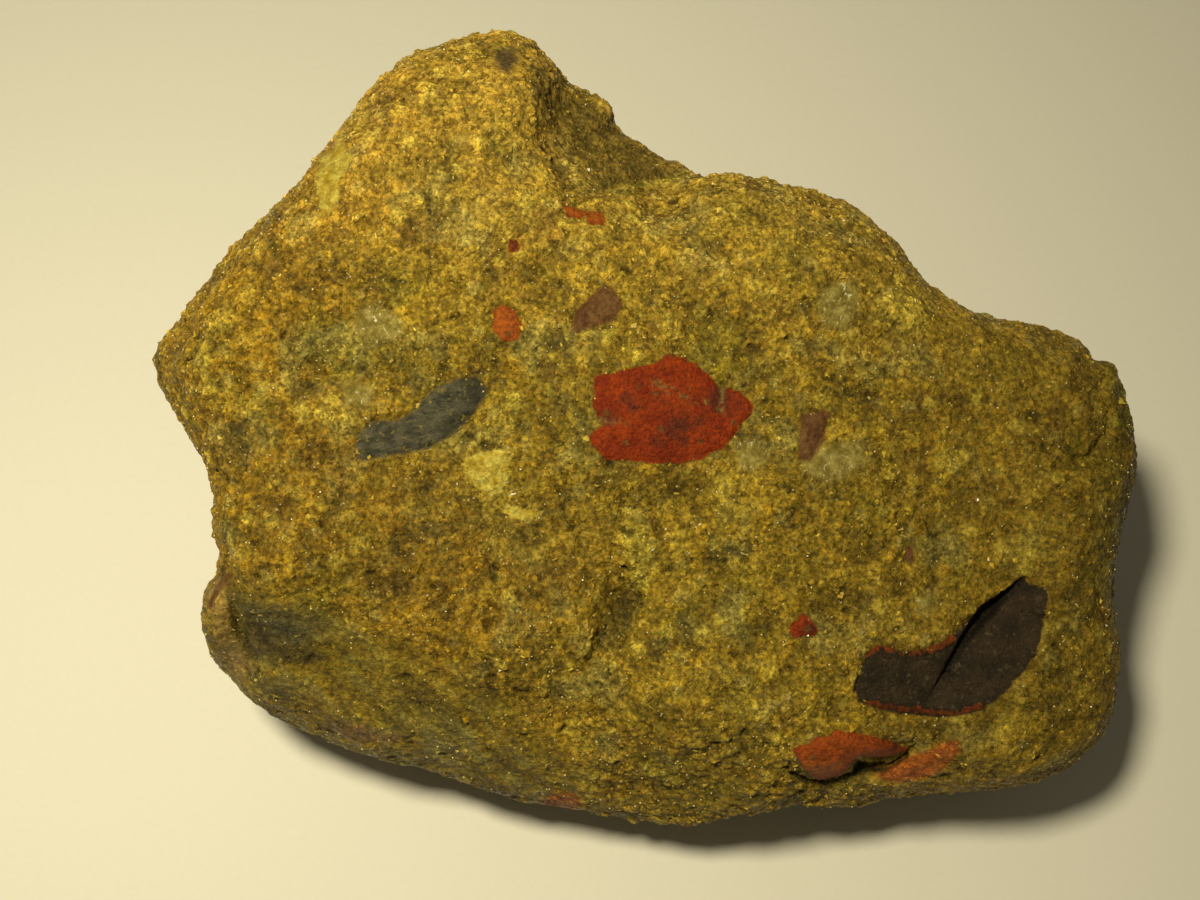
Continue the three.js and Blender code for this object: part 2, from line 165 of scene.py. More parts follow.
PALE_LUMPS = [(33.4, 20.2), (36.8, 20.9), (39.9, 18.4), (40.2, 14.1), (36.8, 13.5), (33.9, 16.2)]
BEDDING = [
    [(-43.3, -18), (-41, -18.4), (-38.6, -18.3)],
    [(-42.8, -21.6), (-38.9, -22.4), (-35.6, -23.1)],
    [(-38, -19.1), (-34.4, -19.4), (-30.7, -20.4)],
    [(-44, -20.6), (-40.2, -20.4), (-36.4, -21.4)],
    [(-41.4, -23.4), (-37.6, -23.2), (-34.9, -24)],
]
LOBE = [
    (-48.6, -17), (-46.2, -15), (-45.2, -18.5), (-44.5, -22.5), (-42, -27), (-44.4, -29),
    (-47.8, -25),
]
LOBE_GROOVE = [(-46.4, -14.5), (-45.2, -18.5), (-44.4, -22.5), (-41.7, -27.4)]
MIDDLE = [(-46, 2), (-30, 4), (-12, -2), (2, -8), (0, -20), (-20, -23), (-42, -13)]
LOW_FACE = [
    (-52, -16), (-45.4, -16.5), (-33.1, -18.4), (-20.9, -25.8), (-4.9, -35.6), (0, -50), (-52, -50),
]
# Where the outline bulges or draws in: plan middle, reach and height.
SWELLS = [
    ((58, -33), 9, 1.2), ((-50, -7), 7, -0.9), ((16, -45), 9, 0.7), ((-11, -45), 7, 0.6),
    ((60, 14), 6, 0.5), ((0.5, 42.1), 2, 0.8), ((2.6, 39.2), 1.5, -0.5),
    ((9.8, 35.2), 1.5, 0.4),
]
# Grooves, cracks and holes of the face: line, half width and depth.
CUTS = [
    *((line, 0.45, 0.3) for line in BEDDING),
    (SHALE_EDGE_CRACK, 0.5, 0.6),
    (LOBE_GROOVE, 0.8, 1),
    (BACK_LOBE_GROOVE, 0.8, 0.7),
    (SHELF_GROOVE, 0.9, 0.5),
    (DENT, 3.2, 0.6),
    (KNOB_CREASE, 1, 0.5),
    *((hole, 0.6, 0.9) for hole in HOLES),
    *((vein, 0.45, 0.3) for vein in JASPER_VEINS),
]
# Sunk and raised forms of the face: outline, depths inside it where the slope starts and
# ends, and height.
FORMS = [
    (SHALE_SPLIT, -0.1, 0.5, -2),
    (SLAB_CLEFT, -0.15, 0.4, -1.6),
    (SLAB, -0.2, 0.5, 0.5),
    (SLAB_LIP, -1.4, 0.4, 0.5),
    (CREAM_LUMP, -0.4, 1.2, 0.45),
    (CRUST_KNOB, -0.4, 0.8, 0.75),
    (PALE_LUMPS, -0.5, 1.5, 0.35),
]
# Where the sand is worn smooth, and how far.
WORN_PARTS = [
    (LOW_FACE, 0.55), (LOBE, 0.8), (SLATE_HOLLOW, 0.85), (FLANK, 0.25), (PEAK_SPOT, 0.8),
    (SLAB_TAIL, 0.8),
]
# How far the reds of some jaspers go from brick to orange.
ORANGE_SHARES = [
    (RED_OVAL, 0.8), (SLAB, 0.4), (SLAB_LIP, 0.9), *((fleck, 1) for fleck in RED_FLECKS),
]

# The outlines of each kind of pebble on the broad face, and thin lines with half widths.
PEBBLE_OUTLINES = {
    "jasper": [JASPER, RED_OVAL, RED_TRIANGLE, SLAB, *RED_FLECKS],
    "slate": [SLATE],
    "shale": [SHALE],
    "cream": [CREAM_LUMP, CREAM_SLIVER, CREAM_EDGE],
    "mauve": [MAUVE_WEDGE, PURPLE_WEDGE, SMALL_MAUVE],
    "quartz": QUARTZ,
}
PEBBLE_LINES = {
    "jasper": [(SHALE_TOP_RIM, 0.28), (SHALE_LOW_RIM, 0.34)],
    "mauve": [(LOBE_STREAK, 0.4)],
}
FAR = 4.0  # millimetres beyond which a distance to an outline doesn't matter

# How squarely a surface faces the plan's eye, from -1 to 1, where each of these ends.
FACE_MARKS_END = -0.1
FACE_PAINTED_SHADOW_END = -0.3
FACE_FINENESS_END = -0.02
FACE_SAND_END = 0.02
HIDDEN_PEBBLES_END = -0.05

# The finer surface: its longest edges on the broad face, near its two splits, and behind.
FACE_EDGE = 0.66
FINE_EDGE = 0.46
BACK_EDGE = 1.6
SPLIT_PASSES = 5
CURVE = 0.75  # share of a curved surface's bulge that a new point gets
SMOOTHINGS = 30  # of the surface near the splits
SETTLING = 0.15  # how far the whole relief is let in, so that the stone keeps its size

# Pebbles of the sides that the broad face doesn't show: how many, and their radii.
HIDDEN_PEBBLES = {
    "jasper": (7, 1.2, 4.5),
    "slate": (4, 2.5, 6),
    "shale": (2, 3, 5),
    "cream": (5, 1.2, 3),
    "mauve": (6, 1.5, 3.5),
    "quartz": (14, 1.5, 4),
}
HIDDEN_GAP = 1.5  # between two of them, and from the floor to a middle
HIDDEN_TRIES = 60
HIDDEN_SEED = 41

# Sand: grains per square millimetre, their middle width and its spread, and the half
# widths that none goes past.
SAND_ON_FACE = 2.7
SAND_ELSEWHERE = 1.3
GRAIN_WIDTH = 0.36
GRAIN_SPREAD = 0.5
LEAST_GRAIN = 0.08
MOST_GRAIN = 0.48
BARE_HEIGHTS = 0.6  # a triangle has no grains where its corners' heights add up to less
GRAINS_IN_A_PIECE = 16000
GRAIN_SEED = 7
# The flecks past the second of these chances are painted pale as glints.
GLASSY_CHANCE = 0.86  # grains whose last random number is higher are glassy
GLINT_FLECK_CHANCE = 0.95  # and those past this one are small pale flecks that stand proud
FLECK_SIZE = 0.105
FLECK_SINK = -0.4

# Colours, linear.
OCHRE = (0.262, 0.166, 0.011)
AMBER = (0.295, 0.157, 0.006)
YELLOW = (0.400, 0.310, 0.040)
CREAM = (0.500, 0.400, 0.060)
OLIVE = (0.175, 0.135, 0.008)
BROWN = (0.142, 0.079, 0.007)
GREY_GREEN = (0.225, 0.195, 0.055)
# Painted glint, the colour of the small flecks.
PAINTED_GLINT = (0.68, 0.60, 0.33)
DARK = (0.045, 0.029, 0.007)
SLATE_GREY = (0.055, 0.053, 0.030)
PLUM = (0.045, 0.028, 0.016)
TAN = (0.260, 0.165, 0.045)
RUST = (0.300, 0.078, 0.010)
DULL_PINK = (0.170, 0.088, 0.035)
JASPER_RED = (0.285, 0.036, 0.001)
JASPER_DARK = (0.165, 0.015, 0.001)
JASPER_ORANGE = (0.33, 0.085, 0.008)
JASPER_BAND = (0.095, 0.016, 0.006)
JASPER_SPECK = (0.11, 0.06, 0.012)
VEIN_DUST = (0.19, 0.12, 0.035)
SLATE_DARK = (0.031, 0.030, 0.020)
SLATE_PALE = (0.092, 0.082, 0.054)
SLATE_DUST = (0.19, 0.150, 0.030)
SHALE_DARK = (0.014, 0.010, 0.005)
SHALE_BROWN = (0.034, 0.020, 0.010)
SHALE_DUST = (0.085, 0.060, 0.032)
CREAM_DARK = (0.36, 0.245, 0.018)
CREAM_PALE = (0.56, 0.455, 0.09)
MAUVE_DARK = (0.085, 0.030, 0.009)
MAUVE_PALE = (0.138, 0.066, 0.022)
QUARTZ_BROWN = (0.150, 0.112, 0.018)
QUARTZ_PALE = (0.33, 0.265, 0.075)
# White streaks of the quartz's cracks, partly painted glints.
QUARTZ_CRACK_GLINT = (0.66, 0.62, 0.45)
FLOOR_WHITE = (0.53, 0.513, 0.495)
LIGHT_TINT = (1, 0.91, 0.58)
SPECULAR = 0.2

# Stains of the sand and painted shade on the face: outline, colour, strength and softness in
# millimetres.
STAINS_AND_PAINTED_SHADE = [
    (MIDDLE, BROWN, 0.5, 7),
    # The flank's brown, olive and dark are partly its own tone and partly painted shade.
    (FLANK, BROWN, 0.6, 2),
    (FLANK, OLIVE, 0.45, 2),
    (FLANK, DARK, 0.35, 3),
    (LOBE, TAN, 0.85, 1.5),
    (BACK_LOBE, OLIVE, 0.7, 0.8),
    # The slate hollow's grey is partly its own tint and partly painted shade; its core's dark is
    # painted shade.
    (SLATE_HOLLOW, SLATE_GREY, 0.85, 2.5),
    (HOLLOW_CORE, DARK, 0.8, 0.9),
    (GREEN_PATCH, GREY_GREEN, 0.6, 1.2),
    (MAUVE_BAND, DULL_PINK, 0.8, 0.8),
    (CRUST_KNOB, YELLOW, 0.75, 0.8),
    (PALE_LUMPS, YELLOW, 0.55, 1.6),
    (PEAK_SPOT, PLUM, 1, 0.7),
    (SLAB_TAIL, RUST, 1, 0.5),
    (LOW_RED, RUST, 0.95, 0.5),
    (PALE_PATCH, YELLOW, 0.6, 1),
    (YELLOW_SPOT, YELLOW, 0.9, 0.4),
]

# The lamp, the glow all round, the camera and the floor, in metres; the sensor and the
# lens are in millimetres, as Blender has them.
LAMP_PLACE = Vector((-0.14, -0.06, 0.62))
LAMP_AIM = Vector((-0.063, -0.012, 0))
LAMP_SIZE = 0.10
LAMP_SPREAD = math.radians(54)
LAMP_WATTS = 0.52
GLOW_STRENGTH = 0.135
SENSOR = 36
LENS = 73.35
CLIP = (0.01, 20)
FLOOR_REACH = 3


# ---- noise

# Each use of noise has a salt of its own.
CELL_FACTORS = (0x9E3779B1, 0x85EBCA77, 0xC2B2AE3D)
SALT_FACTOR = np.uint64(0x27D4EB2F)
MIXING = ((15, 0x2C1B3C6D), (12, 0x297A2D39), (15, 0x2545F491))
LOW_BITS = np.uint64(0xFFFFFFFF)
FIRST_CELL = 4096  # added to the numbers of cells, so that none is negative
OCTAVE_STEP = 2.03
NUMBER_SALT = 7  # added to the salt for a cell's own number
TOO_FAR = 9.0  # in cells, farther than any point near enough to count
SCATTER = 0.45  # how far a cell's point lies from its middle along an axis, at most
CORNERS = np.array(list(product((0, 1), repeat=3)))
AROUND = np.array(list(product((-1, 0, 1), repeat=3)))
TURN = np.array(Matrix.Rotation(0.7, 3, (0.3, 0.5, 0.8)))


def lattice(cells, salt):
    """A number from -1 to 1 for each whole-number cell."""
    x, y, z = (cells[..., i].astype(np.uint64) * np.uint64(CELL_FACTORS[i]) for i in range(3))
    h = ((x ^ y ^ z) + np.uint64(salt) * SALT_FACTOR) & LOW_BITS
    for shift, factor in MIXING:
        h = ((h ^ (h >> np.uint64(shift))) * np.uint64(factor)) & LOW_BITS
    return h.astype(np.float64) / 2**31 - 1


def smooth_noise(p, salt):
    """Smooth noise from about -1 to 1, with a wavelength of one unit of p."""
    base = np.floor(p).astype(np.int64)
    t = p - base
    t = t * t * t * (t * (t * 6 - 15) + 10)
    total = np.zeros(len(p))
    for corner in CORNERS:
        share = np.prod(np.where(corner == 1, t, 1 - t), axis=1)
        total += share * lattice(base + corner + FIRST_CELL, salt)
    return total


def fractal(p, wavelength, octaves, salt, gain=0.5):
    """Smooth noise of several wavelengths, each about half of the one before."""
    total, height, reach = np.zeros(len(p)), 1.0, 0.0
    q = p / wavelength
    for octave in range(octaves):
        total += height * smooth_noise(q, salt + octave)
        reach += height
        height *= gain
        q = (q @ TURN) * OCTAVE_STEP
    return total / reach


def nearest_cells(p, spacing, salt):
    """How far the nearest and second nearest scattered points are, and the nearest's number."""
    q = p / spacing
    base = np.floor(q).astype(np.int64)
    first = np.full(len(p), TOO_FAR)
    second = np.full(len(p), TOO_FAR)
    number = np.zeros(len(p))
    for offset in AROUND:
        cell = base + offset + FIRST_CELL
        jitter = np.stack([lattice(cell, salt + axis) for axis in range(3)], axis=1)
        d = np.linalg.norm(q - (base + offset + 0.5 + SCATTER * jitter), axis=1)
        closer = d < first
        second = np.where(closer, first, np.minimum(second, d))
        number = np.where(closer, lattice(cell, salt + NUMBER_SALT), number)
        first = np.minimum(first, d)
    return first * spacing, second * spacing, number


def step(x, low, high):
    """0 below low, 1 above high, smooth between."""
    t = np.clip((x - low) / (high - low), 0, 1)
    return t * t * (3 - 2 * t)


# ---- mesh work

def welded(node):
    """The node's vertices in millimetres, with shared ones merged, and its triangles."""
    mesh = node.data
    co = np.zeros(len(mesh.vertices) * 3)
    mesh.vertices.foreach_get("co", co)
    mesh.calc_loop_triangles()
    tris = np.zeros(len(mesh.loop_triangles) * 3, np.int32)
    mesh.loop_triangles.foreach_get("vertices", tris)
    points, index = np.unique(np.round(co.reshape(-1, 3) / MM, 4), axis=0, return_inverse=True)
    return points, index.reshape(-1)[tris].reshape(-1, 3)


def edges_of(faces):
    """Each edge once, and the edge number of every triangle's sides ab, bc and ca."""
    sides = np.sort(np.concatenate([faces[:, [0, 1]], faces[:, [1, 2]], faces[:, [2, 0]]]), axis=1)
    edges, number = np.unique(sides, axis=0, return_inverse=True)
    return edges, number.reshape(3, -1)


def summed(rows, index, count):
    """The sum of the rows that share an index."""
    return np.stack([np.bincount(index, rows[:, i], count) for i in range(3)], axis=1)


def neighbour_sums(points, edges):
    """The sum of each point's neighbours, and how many it has."""
    ends, others = edges.T.ravel(), edges.T[::-1].ravel()
    return summed(points[others], ends, len(points)), np.bincount(ends, minlength=len(points))


def quartered(a, b, c, ab, bc, ca):
    """A triangle's four quarters, from its corners and the middles of its sides."""
    return (a, ab, ca), (ab, b, bc), (ca, bc, c), (ab, bc, ca)


def loop_subdivided(points, faces):
    """One step of Loop's subdivision of a closed surface."""
    edges, number = edges_of(faces)
    opposite = faces.T[[2, 0, 1]].ravel()
    wings = summed(points[opposite], number.reshape(-1), len(edges))
    middles = 0.375 * (points[edges[:, 0]] + points[edges[:, 1]]) + 0.125 * wings
    neighbours, count = neighbour_sums(points, edges)
    share = np.where(count == 3, 3 / 16, 3 / (8 * count))[:, None]
    moved = points * (1 - count[:, None] * share) + share * neighbours
    quarters = quartered(*faces.T, *(number + len(points)))
    return (np.concatenate([moved, middles]),
            np.concatenate([np.stack(q, axis=1) for q in quarters]))


def curved_middles(points, normals, edges):
    """Middles of edges, moved out onto the surface that the ends' normals curve along."""
    i, j = edges.T
    middles = (points[i] + points[j]) / 2
    moved = np.zeros_like(middles)
    for end in (i, j):
        height = ((middles - points[end]) * normals[end]).sum(axis=1)
        moved -= height[:, None] * normals[end]
    return middles + CURVE * moved / 2


def split_long(points, faces, longest):
    """Splits each edge that is longer than longest(places, normals) allows there."""
    edges, number = edges_of(faces)
    normals = vertex_normals(points, faces)
    middles = curved_middles(points, normals, edges)
    lengths = np.linalg.norm(points[edges[:, 0]] - points[edges[:, 1]], axis=1)
    picked = lengths > longest(middles, normals[edges].mean(axis=1))
    new_index = np.full(len(edges), -1)
    new_index[picked] = len(points) + np.arange(picked.sum())
    corner = [faces[:, i] for i in range(3)]
    middle = [new_index[number[i]] for i in range(3)]
    split = np.stack([m >= 0 for m in middle], axis=1)
    total = split.sum(axis=1)
    made = [faces[total == 0]]
    for turn in range(3):
        (a, b, c), (ab, bc, ca) = (
            [side[(turn + i) % 3] for i in range(3)] for side in (corner, middle))
        one = (total == 1) & (ab >= 0)
        two = (total == 2) & (ab >= 0) & (bc >= 0)
        for rows, pattern in ((one, ((a, ab, c), (ab, b, c))),
                              (two, ((ab, b, bc), (a, ab, bc), (a, bc, c)))):
            made += [np.stack(triangle, axis=1)[rows] for triangle in pattern]
    made += [np.stack(triangle, axis=1)[total == 3] for triangle in quartered(*corner, *middle)]
    return np.concatenate([points, middles[picked]]), np.concatenate(made)


def crossed_sides(points, faces):
    """Each triangle's normal, as long as twice its area."""
    a, b, c = (points[faces[:, i]] for i in range(3))
    return np.cross(b - a, c - a)


def vertex_normals(points, faces):
    """Unit normals of the points, each face counted by its area."""
    across = crossed_sides(points, faces)
    total = sum(summed(across, faces[:, i], len(points)) for i in range(3))
    return total / np.maximum(np.linalg.norm(total, axis=1, keepdims=True), TINY)


def new_object(name, data):
    """An object in the scene."""
    made = bpy.data.objects.new(name, data)
    bpy.context.scene.collection.objects.link(made)
    return made


def new_mesh_object(name, points, faces, smooth):
    """An object from points in millimetres."""
    mesh = bpy.data.meshes.new(name)
    mesh.vertices.add(len(points))
    mesh.vertices.foreach_set("co", (points * MM).ravel())
    mesh.loops.add(len(faces) * 3)
    mesh.loops.foreach_set("vertex_index", faces.ravel().astype(np.int32))
    mesh.polygons.add(len(faces))
    mesh.polygons.foreach_set("loop_start", np.arange(len(faces), dtype=np.int32) * 3)
    mesh.polygons.foreach_set("use_smooth", np.full(len(faces), smooth))
    mesh.update()
    mesh.validate()
    return new_object(name, mesh)


def set_number(made, name, values):
    """A number on every vertex."""
    layer = made.data.attributes.new(name, "FLOAT", "POINT")
    layer.data.foreach_set("value", values.astype(np.float32))


def set_colour(made, name, values):
    """A linear colour on every vertex."""
    layer = made.data.attributes.new(name, "FLOAT_COLOR", "POINT")
    rgba = np.concatenate([values, np.ones((len(values), 1))], axis=1)
    layer.data.foreach_set("color", rgba.astype(np.float32).ravel())


# ---- the face's plan

def in_face_frame(p):
    """u, v and w of points, in millimetres."""
    axes = np.array([U_AXIS, V_AXIS, W_AXIS])
    return (p - np.array(AIM) / MM) @ axes.T


def plan(p):
    """Where the eye sees each point on the broad face's plan."""
    q = in_face_frame(p)
    return q[:, :2] / (1 - q[:, 2:] * MM / EYE_HEIGHT)


def facing(normals):
    """How squarely normals face the plan's eye: 1 is straight at it, -1 is straight away."""
    return normals @ np.array(W_AXIS)


def line_distance(q, line):
    """Distance of plan points to a line of several stretches."""
    nearest = np.full(len(q), 1e9)
    for a, b in zip(line[:-1], line[1:]):
        a, b = np.array(a), np.array(b)
        t = np.clip((q - a) @ (b - a) / ((b - a) @ (b - a)), 0, 1)
        off = q - a - t[:, None] * (b - a)
        nearest = np.minimum(nearest, (off * off).sum(axis=1))
    return np.sqrt(nearest)


def near(q, line):
    """Which plan points lie in the line's box, widened by FAR."""
    low, high = np.min(line, axis=0) - FAR, np.max(line, axis=0) + FAR
    return np.all((q > low) & (q < high), axis=1)


def depth_inside(q, outline):
    """How deep plan points lie inside a closed outline, negative outside it."""
    closed = [*outline, outline[0]]
    depth = np.full(len(q), -FAR)
    rows = near(q, outline)
    part = q[rows]
    inside = np.zeros(len(part), bool)
    for (u0, v0), (u1, v1) in zip(closed[:-1], closed[1:]):
        if v0 != v1:
            crossing = (v0 > part[:, 1]) != (v1 > part[:, 1])
            inside ^= crossing & (part[:, 0] < (u1 - u0) * (part[:, 1] - v0) / (v1 - v0) + u0)
    distance = line_distance(part, closed)
    depth[rows] = np.where(inside, distance, -np.minimum(distance, FAR))
    return depth


def depth_in_line(q, line, half_width):
    """How deep plan points lie inside a line's width, negative outside it."""
    depth = np.full(len(q), -FAR)
    rows = near(q, line)
    depth[rows] = np.maximum(half_width - line_distance(q[rows], line), -FAR)
    return depth


# ---- pebbles

def hidden_pebbles(points, normals):
    """Pebbles on the sides that the broad face doesn't show: kind, centre, radius, stretch."""
    rng = np.random.default_rng(HIDDEN_SEED)
    behind = facing(normals) < HIDDEN_PEBBLES_END
    free = np.flatnonzero(behind & (points[:, 2] > HIDDEN_GAP))
    taken, made = [], []
    for kind, (count, smallest, largest) in HIDDEN_PEBBLES.items():
        for _ in range(count):
            radius = smallest + (largest - smallest) * rng.random() ** 1.6
            for _ in range(HIDDEN_TRIES):
                centre = points[rng.choice(free)]
                if all(np.linalg.norm(centre - c) > radius + r + HIDDEN_GAP for c, r in taken):
                    break
            taken.append((centre, radius))
            made.append((kind, centre, radius, rng.normal(size=3), 1.3 + 0.9 * rng.random()))
    return made


def hidden_depth(p, centre, radius, along, stretch, salt):
    """How deep points lie inside a rough pebble, stretched along a direction."""
    depth = np.full(len(p), -FAR)
    rows = np.linalg.norm(p - centre, axis=1) < radius * stretch * 1.5 + FAR
    along = along / np.linalg.norm(along)
    off = p[rows] - centre
    off = off - np.outer(off @ along, along) * (1 - 1 / stretch)
    wobble = 1 + 0.35 * fractal(p[rows], radius * 1.3, 3, salt)
    depth[rows] = np.maximum(radius * wobble - np.linalg.norm(off, axis=1), -FAR)
    return depth


def pebble_depths(p, normals, hidden):
    """For each kind of pebble, how deep each point lies inside one."""
    q = plan(p)
    seen = facing(normals) > FACE_MARKS_END
    depths = {}
    for kind, outlines in PEBBLE_OUTLINES.items():
        found = [depth_inside(q, outline) for outline in outlines]
        found += [depth_in_line(q, line, half) for line, half in PEBBLE_LINES.get(kind, [])]
        depth = np.max(found, axis=0)
        depths[kind] = np.where(seen, depth, -FAR)
    for salt, (kind, *shape) in enumerate(hidden):
        depth = np.where(seen, -FAR, hidden_depth(p, *shape, 300 + salt * 5))
        depths[kind] = np.maximum(depths[kind], depth)
    return depths


# ---- relief

def pebble_share(depths, kinds, soft=0.35):
    """How far each point belongs to pebbles of these kinds, from 0 to 1."""
    return step(np.max([depths[kind] for kind in kinds], axis=0), -soft, soft)


def pits(p, spacing, radius, deep, salt, few):
    """Small ragged holes round some of a scatter of points."""
    first, _, number = nearest_cells(bent(p, 1.3, 0.9, salt + 3), spacing, salt)
    return -deep * (number > few) * step(-first, -radius, -0.25 * radius)


def bent(p, wavelength, amount, salt):
    """Points pushed about, so that what is laid out by them looks irregular."""
    push = [fractal(p, wavelength, 2, salt + axis) for axis in range(3)]
    return p + amount * np.stack(push, axis=1)


def knobs(p):
    """Rounded knobs of cemented grains, with creases between them."""
    first, second, number = nearest_cells(bent(p, 1.8, 0.5, 31), 1.35, 41)
    dome = np.clip(second - first, 0, 0.6) / 0.6
    return (0.22 + 0.14 * number) * np.sqrt(dome) - 0.12


def granules(p):
    """Bits of gravel set in the sand: how deep each point lies in one, and its mineral."""
    first, _, number = nearest_cells(bent(p, 1.4, 0.35, 91), 2.6, 95)
    share = np.abs(number)
    return 0.3 + 0.8 * share - first, (share * 37).astype(int) % len(GRANULE_MINERALS)


def worn_share(p, normals):
    """How far the sand is worn smooth at each point."""
    q = plan(p)
    share = 0.4 * step(q[:, 0], 24, 48)
    for outline, most in WORN_PARTS:
        share = np.maximum(share, most * step(depth_inside(q, outline), -2, 1))
    return np.where(facing(normals) > FACE_MARKS_END, share, 0)


def sand_relief(p, normals):
    """Height of the sand's broad lumps and of its rough grain, in millimetres."""
    lumps = 0.30 * fractal(p, 6.5, 3, 11)
    crust = 0.22 * (0.35 - np.abs(fractal(p, 3.6, 3, 23)) * 2)
    rough = 0.50 * fractal(p, 2.6, 4, 37, 0.62) + 1.35 * knobs(p) + crust
    rough += 0.24 * step(granules(p)[0], -0.35, 0.35)
    rough += pits(p, 4.6, 0.85, 1, 51, 0.55) + pits(p, 2.4, 0.7, 0.55, 61, 0.3)
    rough *= 1 - 0.75 * worn_share(p, normals)
    return lumps, rough


def with_face_forms(height, p):
    """The height with the broad face's grooves, forms and swells."""
    q = plan(p)
    for line, width, deep in CUTS:
        height = height - deep * step(depth_in_line(q, line, width), 0, width)
    for outline, start, end, rise in FORMS:
        height = height + rise * step(depth_inside(q, outline), start, end)
    upper = step(in_face_frame(p)[:, 2], -22, -6)
    for middle, reach, swell in SWELLS:
        height = height + swell * upper * np.exp(-((q - middle) ** 2).sum(axis=1) / reach ** 2)
    return height


def relief(p, normals, depths):
    """Height over the smooth form, in millimetres, and the rough sand's part of it."""
    smooth = pebble_share(depths, ("jasper", "slate", "shale", "mauve"))
    waxy = pebble_share(depths, ("cream", "quartz"))
    lumps, rough = sand_relief(p, normals)
    sand = lumps + rough
    polished = 0.45 * lumps + 0.09 * fractal(p, 1.8, 4, 71, 0.6)
    worn = 0.7 * lumps + 0.22 * fractal(p, 2.2, 4, 81, 0.6) + 0.10
    height = sand * (1 - smooth) * (1 - waxy) + polished * smooth + worn * waxy * (1 - smooth)
    rim = np.max([depths[kind] for kind in ("jasper", "slate", "shale", "mauve")], axis=0)
    height -= 0.30 * np.exp(-((rim / 0.4) ** 2))
    height = with_face_forms(height, p)
    flat = step(p[:, 2], 0.1, 2.2)
    return (height - SETTLING) * flat, rough * (1 - smooth)


def evened(points, faces, share, steps):
    """Points moved towards the middle of their neighbours, as far as their share says."""
    edges, _ = edges_of(faces)
    for _ in range(steps):
        total, count = neighbour_sums(points, edges)
        points = points + (total / count[:, None] - points) * share[:, None]
    return points


def depth_in_splits(q):
    """How deep plan points lie inside the shale's split or the slab's cleft."""
    return np.maximum(depth_inside(q, SHALE_SPLIT), depth_inside(q, SLAB_CLEFT))


def longest_edge(places, normals):
    """The longest edge that the finer surface may have at each place."""
    seen = facing(normals) > FACE_FINENESS_END
    fine = depth_in_splits(plan(places)) > -0.8
    return np.where(seen, np.where(fine, FINE_EDGE, FACE_EDGE), BACK_EDGE)


def stone_surface(node):
    """The finer surface of the stone, with its relief."""
    points, faces = loop_subdivided(*welded(node))
    for _ in range(SPLIT_PASSES):
        points, faces = split_long(points, faces, longest_edge)
    normals = vertex_normals(points, faces)
    by_split = step(depth_in_splits(plan(points)), -2.6, -1) * (facing(normals) > 0)
    points = evened(points, faces, 0.7 * by_split, SMOOTHINGS)
    normals = vertex_normals(points, faces)
    hidden = hidden_pebbles(points, normals)
    depths = pebble_depths(points, normals, hidden)
    height, rough = relief(points, normals, depths)
    points = points + normals * height[:, None]
    points[:, 2] = np.maximum(points[:, 2], 0)
    return points, faces, depths, rough


# ---- colour of the sand, with painted light and shade

def layered(colour, *layers):
    """The colours, moved in turn towards each layer's target by its share."""
    for target, share in layers:
        colour = colour + (np.array(target) - colour) * share[:, None]
    return colour


GRANULE_MINERALS = np.array([CREAM, GREY_GREEN, AMBER, BROWN, YELLOW, GREY_GREEN])


def mottled(p, q, seen):
    """The sand's own tones: broad drifts, clouds, bits of gravel and specks."""
    broad = fractal(p, 26, 3, 101)
    cloud = fractal(p, 9, 4, 111, 0.6)
    spot = fractal(p, 2.6, 4, 121, 0.65)
    speck = fractal(p, 1.5, 3, 161, 0.6)
    inside, mineral = granules(p)
    return layered(
        np.tile(np.array(OCHRE), (len(p), 1)),
        (AMBER, step(broad - 0.014 * q[:, 0] * seen, -0.1, 0.7) * 0.65),
        (OLIVE, step(-cloud, 0.05, 0.5) * 0.75),
        (YELLOW, step(cloud + 0.6 * spot, 0.15, 0.7) * 0.6),
        (GREY_GREEN, step(fractal(p, 5, 3, 131), 0.15, 0.5) * 0.6),
        (BROWN, step(fractal(p, 4, 4, 141, 0.6), 0.12, 0.5) * 0.75),
        (GRANULE_MINERALS[mineral], step(inside, -0.25, 0.3) * 0.5),
        (YELLOW, step(speck, 0.2, 0.6) * 0.3),
        (DARK, step(-speck, 0.2, 0.7) * 0.5),
    )


def browned(colour, q, seen):
    """The colour, browner to the right, and streaked with olive on the low face."""
    right = step(q[:, 0] - 0.2 * q[:, 1], 20, 55) * seen
    lower = step(depth_inside(q, LOW_FACE), -2, 3) * seen
    along = np.stack([0.8 * q[:, 0] - 0.6 * q[:, 1], 5 * (0.6 * q[:, 0] + 0.8 * q[:, 1]),
                      np.zeros(len(q))], axis=1)
    streak = fractal(along, 7, 4, 181, 0.6)
    return layered(
        colour,
        (BROWN, right * 0.25),
        (OLIVE, lower * 0.5),
        (GREY_GREEN, lower * step(streak, 0, 0.5) * 0.6),
        (DARK, lower * step(-streak, 0, 0.5) * 0.6),
    )


def stained_and_shaded(colour, q, seen, wander):
    """The colour with the broad face's stains and painted shade, which wander off their outlines."""
    for outline, target, share, soft in STAINS_AND_PAINTED_SHADE:
        depth = depth_inside(q, outline) + min(soft, 1.2) * wander
        colour = layered(colour, (target, step(depth, -soft * 0.5, soft) * share * seen))
    return colour


